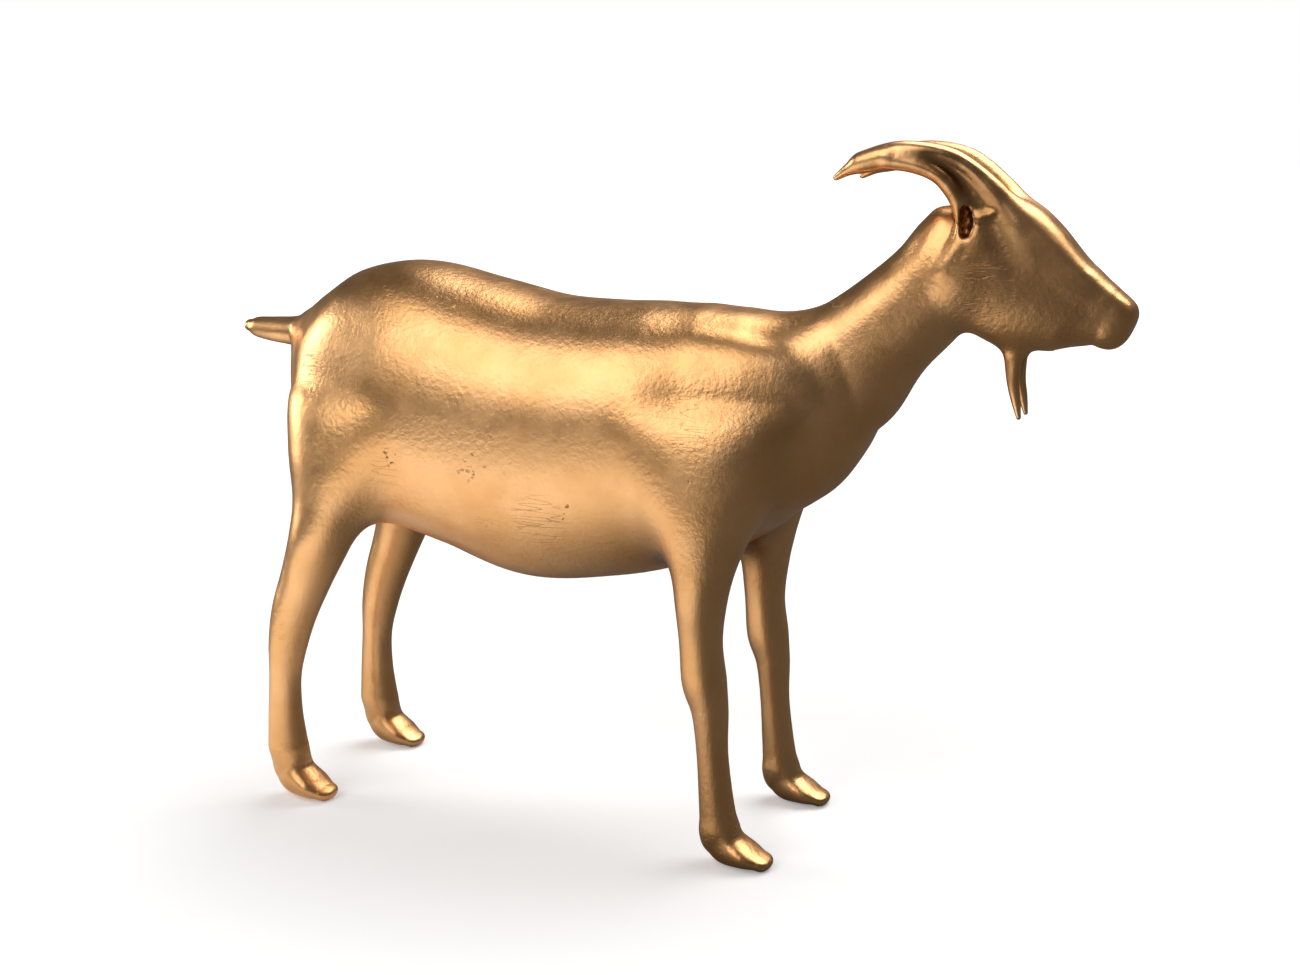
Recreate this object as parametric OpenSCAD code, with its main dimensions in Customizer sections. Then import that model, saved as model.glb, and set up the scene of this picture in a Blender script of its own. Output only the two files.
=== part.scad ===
// Standing goat, a hollow bronze statuette.
// It is cast in sections that meet on flat joints. Round spigots, sleeves and
// driven pins hold the joints, and the skin is chased smooth over them.
// The goat faces +X, its left side is +Y, and it stands on Z = 0.

/* [Stance] */
// Distance from the hind feet to the fore feet
stance_l = 150; // [120:1:185]
// Distance between the left and right feet, centre to centre
stance_w = 57; // [46:1:70]
// Height of the legs, from the sole to the joint with the trunk
leg_l = 80; // [64:1:98]
// Thickness of a leg at its shank
leg_d = 10; // [8:0.5:12]

/* [Trunk] */
// Height of the trunk, from the leg joints to the top of the rump
trunk_h = 93; // [76:1:112]
// Width of the trunk at the belly
trunk_w = 69; // [58:1:84]
// Wall of the hollow castings
wall = 3; // [2.4:0.1:3.8]

/* [Neck and head] */
// Length of the neck casting, joint to joint
neck_l = 42.5; // [34:0.5:52]
// Depth of the neck at its joint with the trunk
neck_d = 34; // [28:0.5:41]
// Length of the head, from its joint to the nose
head_l = 46.5; // [38:0.5:56]
// Depth of the head behind the jaw
head_h = 38; // [32:0.5:46]
// Width of the head across the cheeks
head_w = 31; // [26:0.5:38]

/* [Horns, beard and tail] */
// Reach of a horn, from its root to its tip
horn_l = 42; // [34:0.5:51]
// Thickness of a horn at its root
horn_d = 12; // [10:0.5:14.5]
// Distance of a horn tip from the middle plane
horn_spread = 17; // [14:0.5:20.5]
// Length of the beard below the jaw
beard_l = 20; // [16:0.5:24]
// Thickness of the beard at its root
beard_d = 6; // [5:0.5:7.5]
// Distance of a tuft's tip from the middle plane
beard_spread = 6.5; // [5:0.5:8]
// Length of the tail behind its joint
tail_l = 23; // [19:0.5:27.5]
// Thickness of the tail near its root
tail_d = 12; // [10:0.5:14]

/* [Joints] */
// Diameter of the spigots on the legs
leg_spigot_d = 8; // [6.6:0.1:9.6]
// Length of the spigots on the legs
leg_spigot_l = 12; // [10:0.5:14.5]
// Diameter of the spigot on the tail
tail_spigot_d = 6; // [5:0.1:7.2]
// Length of the spigot on the tail
tail_spigot_l = 6; // [5:0.5:7.2]
// Diameter of the spigots on the horns and the beard
small_spigot_d = 3; // [2.5:0.1:3.6]
// Length of the spigots on the horns and the beard
small_spigot_l = 4; // [3.3:0.1:4.8]
// Diameter of the pins driven through the joints
pin_d = 2.4; // [2:0.1:2.9]
// Length of the sleeves inside the neck and head joints
sleeve_l = 12; // [10:0.5:14.5]
// Wall of the sleeves
sleeve_t = 1.8; // [1.5:0.1:2.2]
// Clearance round a spigot, a sleeve or a plug, on the radius
fit = 0.1; // [0.08:0.01:0.12]
// Diameter of the plugs that close the core-pin holes
chaplet_d = 4; // [3.3:0.1:4.8]
// Diameter of the plug that closes the core vent in the belly
core_plug_d = 14; // [11.6:0.1:16.8]
// Depth that pins and plugs sit below the skin
flush = 0.5; // [0.4:0.05:0.6]

/* [Hidden] */

BRONZE = "peru";
DARK_BRONZE = "sienna";
PIN_BRONZE = "darkgoldenrod";
FAR = 400;              // reach of a cutting block, beyond the whole goat
RING_POINTS = 20;       // points round one section of a limb
STEPS = 3;              // sections between two rows of a limb
FLAT = 2;               // exponent of a round section
BOXY = 2.3;             // exponent of a section with fuller sides
$fn = 48;

// Where the parts hang together. X is counted from the middle of the stance
// here, and to_middle shifts the whole goat so that its box is centred.
NECK_JOINT = [0.653 * stance_l, leg_l + 0.753 * trunk_h];
HEAD_JOINT = NECK_JOINT + neck_l * [0.753, 0.659];
HORN_ROOT = HEAD_JOINT + head_l * [0.172, 0.301];
BEARD_ROOT = HEAD_JOINT + head_l * [0.258, -0.43];
TAIL_JOINT = [-0.585 * stance_l, leg_l + 0.742 * trunk_h];
head_joint_tilt = 13;
nose_x = HEAD_JOINT[0] + head_l;
tail_tip_x = TAIL_JOINT[0] - tail_l;
to_middle = -(nose_x + tail_tip_x) / 2;

// A limb is a row for each section: [x, z, depth up, depth down, half width, y].
// The tables hold percentages, of a length for the place and of a thickness
// for the section. sized() turns them into millimetres from a starting point.
function sized(rows, start, length, depth, width, spread = 0) =
    [for (r = rows) [start[0] + length[0] * r[0] / 100, start[1] + length[1] * r[1] / 100,
                     depth * r[2] / 100, depth * r[3] / 100, width * r[4] / 100,
                     len(r) > 5 ? spread * r[5] / 100 : spread]];

TRUNK = sized([[-58.3, 57, 6.5, 7.5, 7], [-56, 57.5, 19.5, 21.5, 20], [-51.5, 57, 31, 34.5, 32],
               [-45.5, 55.5, 39.5, 42.5, 38.5], [-37.5, 53.5, 44.5, 47, 43.5],
               [-28, 51.5, 47.5, 47, 46.5], [-15, 48.5, 47, 48.5, 48.5], [0.5, 44, 45.5, 49, 50], [16.5, 43, 44, 46, 49.5],
               [31.5, 44, 43, 41, 46.5], [42, 47.5, 39, 35.5, 40.5], [50, 52.5, 31.5, 29, 32.5],
               [58, 57, 22.5, 21.5, 23], [64.5, 60, 12, 12, 13], [68, 62, 3, 3, 4.5]],
              [0, leg_l], [stance_l, trunk_h], trunk_h, trunk_w);
NECK = sized([[-96, -61, 76, 76, 53], [-63, -45, 74, 79, 54], [-26, -20, 54, 63, 46],
              [0, 0, 48, 52, 41], [26, 23, 44, 46, 38], [50, 46, 40, 42, 37],
              [71, 68, 34, 38, 35], [90, 88, 32, 36, 33]],
             NECK_JOINT, [neck_l, neck_l], neck_d, neck_d);
HEAD = sized([[-9, 17, 13, 16, 19], [2, 12, 32, 45, 39], [19, 2, 43, 57, 50],
              [41, -10, 37, 53, 45], [62, -21, 25, 40, 35], [80, -30, 20, 29, 28],
              [93, -36, 13, 18, 21], [100, -39, 5, 6, 8]],
             HEAD_JOINT, [head_l, head_l], head_h, head_w);
HORN = sized([[0, 0, 50, 58, 42, 35], [-12, 14, 50, 46, 42, 47], [-33, 26, 42, 38, 38, 65],
              [-62, 31, 28, 27, 33, 80], [-83, 27, 18, 19, 25, 92], [-98, 19, 7, 8, 9, 100]],
             HORN_ROOT, [horn_l, horn_l], horn_d, horn_d, horn_spread);
BEARD = sized([[0, 0, 67, 50, 42, 31], [9, -35, 53, 43, 37, 46], [16, -75, 37, 32, 30, 70],
               [25, -110, 20, 17, 18, 100]],
              BEARD_ROOT, [beard_l, beard_l], beard_d, beard_d, beard_spread);
TAIL = sized([[98, 20, 90, 100, 90], [38, 2, 71, 67, 75], [-10, -3, 43, 42, 50],
              [-49, -2, 33, 33, 40], [-80, -1, 25, 28, 30], [-95, 2, 12, 15, 15],
              [-100, 3, 4, 4, 4]],
             TAIL_JOINT, [tail_l, tail_l], tail_d, tail_d);
FORE_FOOT_X = stance_l / 2;
HIND_FOOT_X = -stance_l / 2;
leg_y = stance_w / 2;
FORE_LEG = sized([[-17, 108, 85, 86, 78], [-17, 100, 76, 80, 72], [-17, 84, 63, 63, 63],
                  [-15.5, 69, 66, 66, 65], [-13.5, 57, 56, 52, 58], [-12.5, 42, 46, 45, 50],
                  [-11.5, 27, 49, 49, 51], [-10, 15, 54, 56, 56], [-9, 5, 50, 52, 58],
                  [-8.5, -4, 45, 45, 55]],
                 [FORE_FOOT_X, 0], [leg_l, leg_l], leg_d, leg_d, leg_y);
FORE_FOOT = sized([[-12, 5, 35, 60, 40], [-5, 5, 52, 60, 64], [2, 4, 40, 55, 68],
                   [7, 3.5, 28, 50, 60], [10, 3, 18, 45, 42], [11.5, 3, 8, 40, 15]],
                  [FORE_FOOT_X, 0], [leg_l, leg_l], leg_d, leg_d, leg_y);
HIND_LEG = sized([[10, 108, 108, 108, 95], [6.5, 100, 95, 96, 87], [3, 92, 85, 86, 80],
                  [-3, 77, 74, 75, 72], [-7, 64, 62, 62, 62], [-9, 50, 50, 50, 52],
                  [-10, 35, 57, 52, 54], [-9.5, 21, 68, 62, 62], [-8.5, 12, 58, 54, 60],
                  [-8, 5, 52, 50, 60], [-7.5, -4, 45, 45, 55]],
                 [HIND_FOOT_X, 0], [leg_l, leg_l], leg_d, leg_d, leg_y);
HIND_FOOT = sized([[-11, 5, 35, 60, 40], [-4, 5, 52, 60, 64], [3, 4, 40, 55, 68],
                   [8, 3.5, 28, 50, 60], [11, 3, 18, 45, 42], [12.5, 3, 8, 40, 15]],
                  [HIND_FOOT_X, 0], [leg_l, leg_l], leg_d, leg_d, leg_y);
// The upper legs belong to the trunk casting and end in the leg's own top rows.
FORE_JOINT = [FORE_LEG[1][0], leg_l];
HIND_JOINT = [HIND_LEG[1][0], leg_l];
SHOULDER = concat(sized([[2, 76, 4, 4, 2, 60], [2, 70, 12, 11, 5, 68], [2, 54, 18, 16, 9, 84],
                         [0, 32, 16, 15, 10, 91], [0, 16, 11, 10, 9, 96]],
                        FORE_JOINT, [trunk_h, trunk_h], trunk_h, trunk_h, leg_y),
                  [for (i = [1:2]) FORE_LEG[i]]);
HAUNCH = concat(sized([[16, 80, 5, 5, 2, 52], [16, 72, 15, 15, 5, 60], [15, 54, 21, 21, 11, 77],
                       [12, 34, 19, 21, 12, 84], [8, 18, 15, 16, 11, 90]],
                      HIND_JOINT, [trunk_h, trunk_h], trunk_h, trunk_h, leg_y),
                [for (i = [1:2]) HIND_LEG[i]]);

// Inner surface of a hollow limb: the same rows with a wall taken off.
function hollowed(rows, t, top = 0) =
    [for (r = rows) [r[0], r[1], r[2] - t - top, r[3] - t, r[4] - t, r[5]]];
// The rows of a limb that are thick enough to hold a hollow.
function thick(rows, walls) =
    [for (r = rows) if (min(r[2], r[3], r[4]) > walls * wall) r];

// Catmull-Rom curve through the rows, n sections to a step.
function between(a, b, c, d, t) =
    (2 * b + (c - a) * t + (2 * a - 5 * b + 4 * c - d) * t * t
     + (3 * b - a - 3 * c + d) * t * t * t) / 2;
function smooth(rows, n) =
    let (last = len(rows) - 1)
    [for (i = [0:last - 1]) for (j = [0:n - 1])
        between(rows[max(i - 1, 0)], rows[i], rows[i + 1], rows[min(i + 2, last)], j / n),
     rows[last]];

// Direction of the spine at section i, as an angle above +X.
function spine_angle(rows, i) =
    let (a = rows[max(i - 1, 0)], b = rows[min(i + 1, len(rows) - 1)])
    atan2(b[1] - a[1], b[0] - a[0]);
function power(v, e) = sign(v) * pow(abs(v), 2 / e);

// One section: a superellipse square to the spine, deeper above or below it.
function section(r, angle, e) =
    [for (k = [0:RING_POINTS - 1])
        let (a = 360 * k / RING_POINTS, up = power(sin(a), e), side = power(cos(a), e),
             depth = up > 0 ? r[2] * up : r[3] * up)
        [r[0] - depth * sin(angle), r[5] + r[4] * side, r[1] + depth * cos(angle)]];

// A closed limb, its sections carried along the spine.
module limb(rows, e = FLAT) {
    s = smooth(rows, STEPS);
    n = RING_POINTS;
    last = len(s) - 1;
    points = [for (i = [0:last]) each section(s[i], spine_angle(s, i), e)];
    sides = [for (i = [0:last - 1]) for (k = [0:n - 1])
                let (a = i * n + k, b = i * n + (k + 1) % n)
                each [[a + n, b, a], [a + n, b + n, b]]];
    ends = [[for (k = [0:n - 1]) k], [for (k = [0:n - 1]) last * n + n - 1 - k]];
    polyhedron(points = points, faces = concat(sides, ends));
}

// Makes one mesh of its children. The size stays as it is.
module fused() { resize([0, 0, 0]) children(); }
module centred() { translate([to_middle, 0, 0]) children(); }
module both_sides() { children(); mirror([0, 1, 0]) children(); }
// Everything past a joint plane at p that faces along angle, from the plane out.
module past(p, angle, gap = 0) {
    translate([p[0], 0, p[1]]) rotate([0, -angle, 0])
        translate([gap, -FAR, -FAR]) cube([2 * FAR, 2 * FAR, 2 * FAR]);
}
// A bar across the goat, from y0 to y1.
module crossbar(p, d, y0, y1) {
    translate([p[0], y0, p[1]]) rotate([-90, 0, 0]) cylinder(d = d, h = y1 - y0);
}
// A round bar from p along angle.
module bar(p, y, angle, d, l) {
    translate([p[0], y, p[1]]) rotate([0, 90 - angle, 0]) cylinder(d = d, h = l);
}

neck_angle = spine_angle(NECK, 3);

// --- trunk -----------------------------------------------------------------
module trunk_skin() {
    limb(TRUNK, BOXY);
    limb(NECK);
    limb(TAIL);
    both_sides() {
        limb(SHOULDER);
        limb(HAUNCH);
    }
}
// The space below a leg joint, wide enough for the top of that leg. It is counted
// in leg diameters, and stops short of the middle of the belly.
below_reach = 2.4 * leg_d;
below_inner = leg_y - 1.6 * leg_d;
below_width = 4 * leg_d;
module below_leg(joint) {
    translate([joint[0] - below_reach, below_inner, -leg_l / 2])
        cube([2 * below_reach, below_width, 1.5 * leg_l]);
}
// The space behind the tail joint, above the buttocks. Its floor is just under
// the tail, which is tail_d deep.
behind_floor = TAIL_JOINT[1] - 0.55 * tail_d;
module behind_tail() {
    translate([TAIL_JOINT[0] - FAR, -FAR, behind_floor]) cube([FAR, 2 * FAR, FAR]);
}
module trunk_body() {
    fused() difference() {
        trunk_skin();
        limb(hollowed(thick(TRUNK, 8), wall), BOXY);
        limb(hollowed(NECK, wall));
        past(NECK_JOINT, neck_angle);
        behind_tail();
        both_sides() {
            below_leg(FORE_JOINT);
            below_leg(HIND_JOINT);
        }
    }
}

// Core pins stand at these rows of the trunk, on its widest line.
CHAPLET_ROWS = [5, 7, 9];
CORE_ROW = 7;
module chaplets(d, out) {
    both_sides() for (i = CHAPLET_ROWS)
        crossbar(TRUNK[i], d, TRUNK[i][4] - wall, TRUNK[i][4] + out);
}
core_z = TRUNK[CORE_ROW][1] - TRUNK[CORE_ROW][3];
module core_hole(d, z0, z1) {
    translate([TRUNK[CORE_ROW][0], 0, z0]) cylinder(d = d, h = z1 - z0);
}
// The leg pins cross the spigots half way up.
leg_pin_z = leg_l + leg_spigot_l / 2;
module leg_pin(joint, row, d, out) {
    crossbar([joint[0], leg_pin_z], d, leg_y - leg_spigot_d / 2 - 1, leg_y + row[4] + out);
}
module leg_socket(joint) {
    translate([joint[0], leg_y, leg_l - wall])
        cylinder(d = leg_spigot_d + 2 * fit, h = leg_spigot_l + wall + fit);
}
tail_pin_x = TAIL_JOINT[0] + tail_spigot_l / 2;
tail_pin_reach = TAIL[1][4] * 0.8;

module trunk_shell() {
    color(BRONZE) centred() difference() {
        trunk_body();
        both_sides() {
            leg_socket(FORE_JOINT);
            leg_socket(HIND_JOINT);
            leg_pin(FORE_JOINT, FORE_LEG[1], pin_d, wall);
            leg_pin(HIND_JOINT, HIND_LEG[1], pin_d, wall);
        }
        chaplets(chaplet_d + 2 * fit, wall);
        core_hole(core_plug_d + 2 * fit, core_z - wall, core_z + 2 * wall);
        bar(TAIL_JOINT - [wall, 0], 0, 0, tail_spigot_d + 2 * fit, tail_spigot_l + wall + fit);
        crossbar([tail_pin_x, TAIL_JOINT[1]], pin_d, -tail_d, tail_d);
        sleeve_holes(NECK_JOINT, neck_angle, -1, NECK[3]);
    }
}
module chaplet_plugs() {
    color(PIN_BRONZE) centred() chaplets(chaplet_d, -flush);
}
module core_plug() {
    color(PIN_BRONZE) centred() core_hole(core_plug_d, core_z + flush, core_z + wall + flush);
}
module leg_pins() {
    color(PIN_BRONZE) centred() both_sides() {
        leg_pin(FORE_JOINT, FORE_LEG[1], pin_d, -flush);
        leg_pin(HIND_JOINT, HIND_LEG[1], pin_d, -flush);
    }
}

// --- neck and head -----------------------------------------------------------
// Pins through a sleeve joint stand a third of the sleeve from its middle.
module sleeve_pins(joint, angle, way, row, d, out) {
    away = way * sleeve_l / 3;
    p = joint + away * [cos(angle), sin(angle)];
    both_sides() crossbar(p, d, row[4] - wall - sleeve_t - 1, row[4] + out);
}
module sleeve_holes(joint, angle, way, row) {
    sleeve_pins(joint, angle, way, row, pin_d, wall);
}
module sleeve(rows, e, joint, angle) {
    end = sleeve_l / 2;
    fused() difference() {
        limb(hollowed(rows, wall + fit), e);
        limb(hollowed(rows, wall + fit + sleeve_t), e);
        past(joint, angle, end);
        past(joint, angle + 180, end);
    }
}
// The space that a sleeve needs inside a casting.
module sleeve_room(rows, e, joint, angle) {
    end = sleeve_l / 2 + fit;
    difference() {
        limb(hollowed(rows, wall), e);
        past(joint, angle, end);
        past(joint, angle + 180, end);
    }
}
module neck_shell() {
    color(BRONZE) centred() difference() {
        fused() difference() {
            limb(NECK);
            limb(hollowed(NECK, wall));
            past(NECK_JOINT, neck_angle + 180);
            past(HEAD_JOINT, head_joint_tilt);
        }
        sleeve_holes(NECK_JOINT, neck_angle, 1, NECK[3]);
        sleeve_holes(HEAD_JOINT, head_joint_tilt, -1, NECK[6]);
    }
}
module neck_sleeve() {
    color(DARK_BRONZE) centred() difference() {
        sleeve(NECK, FLAT, NECK_JOINT, neck_angle);
        sleeve_holes(NECK_JOINT, neck_angle, -1, NECK[3]);
        sleeve_holes(NECK_JOINT, neck_angle, 1, NECK[3]);
    }
}
module neck_pins() {
    color(PIN_BRONZE) centred() for (way = [-1, 1])
        sleeve_pins(NECK_JOINT, neck_angle, way, NECK[3], pin_d, -flush);
}

// A horn is cut a fifth of the way from its second row to its third, and the beard
// a third of its length below its root, where both have become narrow.
horn_cut_at = 0.2;
beard_cut_at = [0.08, -0.3];
horn_cut = between(HORN[0], HORN[1], HORN[2], HORN[3], horn_cut_at);
horn_angle = spine_angle(HORN, 1);
beard_cut = BEARD_ROOT + beard_cut_at * beard_l;
module head_body() {
    fused() difference() {
        union() {
            limb(HEAD, BOXY);
            both_sides() {
                limb([for (i = [0:2]) HORN[i]]);
                limb([for (i = [0:1]) BEARD[i]]);
            }
        }
        limb(hollowed(thick(HEAD, 3), wall, wall), BOXY);
        sleeve_room(NECK, FLAT, HEAD_JOINT, head_joint_tilt);
        past(HEAD_JOINT, head_joint_tilt + 180);
        past([horn_cut[0], horn_cut[1]], horn_angle);
        translate([-FAR, -FAR, beard_cut[1] - FAR]) cube([2 * FAR, 2 * FAR, FAR]);
    }
}
module small_socket(p, y, angle, l) {
    bar(p - wall * [cos(angle), sin(angle)], y, angle, small_spigot_d + 2 * fit, l + wall + fit);
}
module head_shell() {
    color(BRONZE) centred() difference() {
        head_body();
        both_sides() small_socket([horn_cut[0], horn_cut[1]], horn_cut[5], horn_angle + 180,
                                  small_spigot_l);
        small_socket(beard_cut, 0, 90, small_spigot_l);
        sleeve_holes(HEAD_JOINT, head_joint_tilt, 1, NECK[6]);
    }
}
module head_sleeve() {
    color(DARK_BRONZE) centred() difference() {
        sleeve(NECK, FLAT, HEAD_JOINT, head_joint_tilt);
        sleeve_holes(HEAD_JOINT, head_joint_tilt, -1, NECK[6]);
        sleeve_holes(HEAD_JOINT, head_joint_tilt, 1, NECK[6]);
    }
}
module head_pins() {
    color(PIN_BRONZE) centred() for (way = [-1, 1])
        sleeve_pins(HEAD_JOINT, head_joint_tilt, way, NECK[6], pin_d, -flush);
}

// --- horns, beard and tail -----------------------------------------------------
module horn() {
    union() {
        fused() difference() {
            limb(HORN);
            past([horn_cut[0], horn_cut[1]], horn_angle + 180);
        }
        bar([horn_cut[0], horn_cut[1]] + [cos(horn_angle), sin(horn_angle)], horn_cut[5],
            horn_angle + 180, small_spigot_d, small_spigot_l + 1);
    }
}
module horn_left() { color(BRONZE) centred() horn(); }
module horn_right() { color(BRONZE) centred() mirror([0, 1, 0]) horn(); }
module beard() {
    color(BRONZE) centred() union() {
        fused() difference() {
            both_sides() limb(BEARD);
            translate([-FAR, -FAR, beard_cut[1]]) cube([2 * FAR, 2 * FAR, FAR]);
        }
        bar(beard_cut - [0, 1], 0, 90, small_spigot_d, small_spigot_l + 1);
    }
}
module tail() {
    color(BRONZE) centred() difference() {
        union() {
            fused() difference() {
                limb(TAIL);
                past(TAIL_JOINT, 0);
            }
            bar(TAIL_JOINT - [1, 0], 0, 0, tail_spigot_d, tail_spigot_l + 1);
        }
        crossbar([tail_pin_x, TAIL_JOINT[1]], pin_d, -tail_d, tail_d);
    }
}
module tail_pin() {
    color(PIN_BRONZE) centred()
        crossbar([tail_pin_x, TAIL_JOINT[1]], pin_d, -tail_pin_reach, tail_pin_reach);
}

// --- legs ------------------------------------------------------------------------
// The loft of the leg and its foot run below the floor, and the ground plane
// cuts them to a flat sole.
module leg(rows, foot_rows, joint) {
    difference() {
        union() {
            fused() difference() {
                union() {
                    limb(rows);
                    limb(foot_rows, BOXY);
                }
                past([0, leg_l], 90);
            }
            translate([joint[0], leg_y, leg_l - 1])
                cylinder(d = leg_spigot_d, h = leg_spigot_l + 1);
        }
        translate([-FAR, -FAR, -FAR]) cube([2 * FAR, 2 * FAR, FAR]);
        leg_pin(joint, rows[1], pin_d, wall);
    }
}
module fore_leg() { leg(FORE_LEG, FORE_FOOT, FORE_JOINT); }
module hind_leg() { leg(HIND_LEG, HIND_FOOT, HIND_JOINT); }
module fore_leg_left() { color(BRONZE) centred() fore_leg(); }
module fore_leg_right() { color(BRONZE) centred() mirror([0, 1, 0]) fore_leg(); }
module hind_leg_left() { color(BRONZE) centred() hind_leg(); }
module hind_leg_right() { color(BRONZE) centred() mirror([0, 1, 0]) hind_leg(); }

trunk_shell();
neck_shell();
head_shell();
horn_left();
horn_right();
beard();
tail();
fore_leg_left();
fore_leg_right();
hind_leg_left();
hind_leg_right();
neck_sleeve();
head_sleeve();
neck_pins();
head_pins();
leg_pins();
tail_pin();
chaplet_plugs();
core_plug();
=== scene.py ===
# %% [markdown]
# # A bronze goat, cast in sections
#
# The object is a standing goat in hollow bronze, about 21 cm high. A founder
# casts such a goat in pieces: a trunk, a neck, a head, two horns, a beard, a
# tail and four legs. The pieces are pinned together, and the joints are filed
# and polished until nobody can see where one casting ends and the next begins.
#
# That one fact decides how the shape is made here. The skin must run on through
# every joint without a step, yet each casting must be a solid of its own. So
# the whole goat is written as one smooth function of space, and each casting is
# a stretch of its surface, cut off flat at the joints.

# %% The frame that everything is built around
import math

import bpy
import numpy as np
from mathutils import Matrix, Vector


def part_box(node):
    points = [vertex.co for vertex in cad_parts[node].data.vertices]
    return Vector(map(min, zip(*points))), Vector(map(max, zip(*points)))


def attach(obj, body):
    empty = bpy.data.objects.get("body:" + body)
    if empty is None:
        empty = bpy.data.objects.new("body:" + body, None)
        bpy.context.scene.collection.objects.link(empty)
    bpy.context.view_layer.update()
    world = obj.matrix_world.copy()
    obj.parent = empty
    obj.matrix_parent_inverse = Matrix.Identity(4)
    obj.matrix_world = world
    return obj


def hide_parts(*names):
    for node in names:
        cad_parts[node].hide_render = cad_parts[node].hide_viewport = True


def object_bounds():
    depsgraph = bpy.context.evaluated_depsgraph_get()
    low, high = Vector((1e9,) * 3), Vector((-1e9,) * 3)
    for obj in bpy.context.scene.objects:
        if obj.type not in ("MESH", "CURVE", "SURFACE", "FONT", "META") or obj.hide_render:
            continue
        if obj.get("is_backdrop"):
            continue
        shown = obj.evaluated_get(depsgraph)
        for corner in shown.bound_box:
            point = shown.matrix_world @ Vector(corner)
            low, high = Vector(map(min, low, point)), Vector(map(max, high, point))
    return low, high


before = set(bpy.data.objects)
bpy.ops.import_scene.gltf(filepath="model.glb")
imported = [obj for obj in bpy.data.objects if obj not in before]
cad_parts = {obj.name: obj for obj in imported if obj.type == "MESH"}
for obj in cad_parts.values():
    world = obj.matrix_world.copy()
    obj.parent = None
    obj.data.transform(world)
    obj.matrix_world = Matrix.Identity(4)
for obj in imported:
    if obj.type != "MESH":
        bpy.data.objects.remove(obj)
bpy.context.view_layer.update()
print("castings and joint parts in the frame:", len(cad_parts))

# %% [markdown]
# The tables further down are in millimetres, counted from the floor under the middle of the goat's
# stance. Two measures of the frame place them: where the nose ends, and how high the leg joints
# are.

# %% Measures taken from the frame
MM = 0.001


def box_mm(node):
    """Lowest and highest corner of a node of the frame, in millimetres."""
    low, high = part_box(node)
    return np.array(low) / MM, np.array(high) / MM


NOSE_REACH = 177.2       # from the middle of the stance to the nose
SPIGOT = 12              # how far a leg's spigot stands up inside the trunk
MIDDLE_X = box_mm("head_shell")[1][0] - NOSE_REACH
LEG_JOINT_Z = box_mm("fore_leg_left")[1][2] - SPIGOT
print(f"middle of the stance at {MIDDLE_X:.1f} mm, leg joints {LEG_JOINT_Z:.1f} mm up")

# %% [markdown]
# ## Camera
#
# The camera looks at the goat's right side from a little in front and a little
# above, through a normal lens. It stands only about half a metre away, as one
# does with a small bronze, so the near legs look longer than the far ones.

# %% Camera
CAMERA_AZIMUTH = math.radians(22.6)
CAMERA_PITCH = math.radians(11.0)
CAMERA_PLACE = (0.2101, -0.5015, 0.2109)

camera_data = bpy.data.cameras.new("camera")
camera_data.lens = 50
camera_data.sensor_width = 36
camera = bpy.data.objects.new("camera", camera_data)
camera.location = CAMERA_PLACE
camera.rotation_euler = (math.pi / 2 - CAMERA_PITCH, 0, CAMERA_AZIMUTH)
bpy.context.collection.objects.link(camera)
bpy.context.scene.camera = camera
print("camera stands at", CAMERA_PLACE)

# %% [markdown]
# ## Two helpers for materials
#
# A material is a net of small nodes. One shortcut adds a node with its settings
# in one line, and a second one makes the node that is needed most: a value that
# rises from one level to another.


# %% A new material
def new_material(name):
    """An empty node material, with its shader and a shortcut for adding nodes."""
    material = bpy.data.materials.new(name)
    material.use_nodes = True
    tree = material.node_tree
    shader = tree.nodes["Principled BSDF"]

    def add(kind, **settings):
        node = tree.nodes.new(kind)
        for key, value in settings.items():
            if key in node.inputs:
                node.inputs[key].default_value = value
            else:
                setattr(node, key, value)
        return node

    return material, shader, add, tree.links.new


# %% A value that rises
def window(add, link, value, start, end, low=0.0, high=1.0, shape="SMOOTHSTEP"):
    """Low below start, high above end, and a smooth step between them."""
    node = add("ShaderNodeMapRange", interpolation_type=shape)
    for name, amount in (("From Min", start), ("From Max", end), ("To Min", low), ("To Max", high)):
        node.inputs[name].default_value = amount
    link(value, node.inputs["Value"])
    return node.outputs["Result"]


# %% [markdown]
# ## Floor
#
# The goat stands on a white sweep. A plain white sheet would do for the eye,
# but a bronze is a mirror with a soft focus, and a floor that is white
# everywhere would wash its whole underside out. So the sheet does two jobs. The
# camera sees it glow a little, more so towards the horizon, which keeps it
# white to the edge. A reflection sees it as a card: an oval that is bright
# beside the goat, and dark further out.

# %% Floor as a card
CARD_STRETCH = (1.5, 1, 1)           # an oval, shorter along the goat
CARD_CENTRE = (-0.30, -0.35, 0)      # metres, after the stretch
CARD_WHITE, CARD_DARK = 0.95, 0.10
CARD_GLOW = 0.22

floor_material, shader, add, link = new_material("white_sweep")
shader.inputs["Roughness"].default_value = 0.7
shader.inputs["Specular IOR Level"].default_value = 0.1
shader.inputs["Emission Color"].default_value = (1, 1, 1, 1)
seen = add("ShaderNodeLightPath").outputs["Is Camera Ray"]
oval = add("ShaderNodeMapping", Scale=CARD_STRETCH)
link(add("ShaderNodeTexCoord").outputs["Object"], oval.inputs["Vector"])
far = add("ShaderNodeVectorMath", operation="DISTANCE")
far.inputs[1].default_value = CARD_CENTRE
link(oval.outputs["Vector"], far.inputs[0])
card = window(add, link, far.outputs["Value"], 0.26, 0.48, CARD_WHITE, CARD_DARK)
card_glow = add("ShaderNodeMath", operation="MULTIPLY")
card_glow.inputs[1].default_value = CARD_GLOW
link(card, card_glow.inputs[0])

# %% Floor as the camera sees it
SHEET_WHITE = (0.85, 0.85, 0.85, 1)
GLOW_NEAR, GLOW_FAR = 0.27, 0.7

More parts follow.
